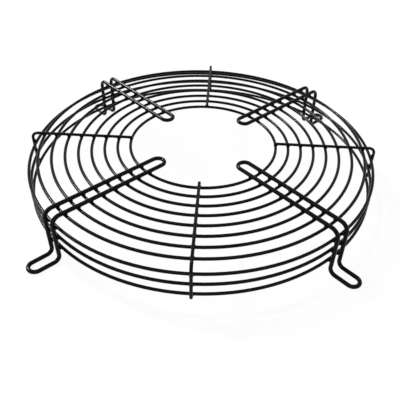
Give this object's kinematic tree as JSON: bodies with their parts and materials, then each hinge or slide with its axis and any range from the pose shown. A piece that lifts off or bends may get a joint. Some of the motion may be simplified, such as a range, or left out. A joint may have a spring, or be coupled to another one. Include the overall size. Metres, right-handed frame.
{
  "type": "wire fan guard",
  "caption": "Round basket-shaped wire guard that covers a fan, stands on bent hairpin feet with screw slots, and has a central opening for the motor.",
  "frame": {"origin": "on the fan's axis, in the plane the feet stand on", "axes": "+Z along the fan's axis, from the feet towards the face; -Y towards the front spoke; +X to the right seen from the front"},
  "size_m": [0.3592, 0.3592, 0.053],
  "materials": {
    "coated_wire": "black semi-gloss powder coat"
  },
  "bodies": {
    "root": {"face_ring_1": "coated_wire", "face_ring_2": "coated_wire", "face_ring_3": "coated_wire", "face_ring_4": "coated_wire", "face_ring_5": "coated_wire", "face_ring_6": "coated_wire", "face_ring_7": "coated_wire", "face_ring_8": "coated_wire", "wall_ring_1": "coated_wire", "wall_ring_2": "coated_wire", "wall_ring_3": "coated_wire", "spoke_front": "coated_wire", "spoke_right": "coated_wire", "spoke_back": "coated_wire", "spoke_left": "coated_wire", "leg_front_left": "coated_wire", "leg_front_right": "coated_wire", "leg_back_left": "coated_wire", "leg_back_right": "coated_wire"}
  },
  "joints": []
}
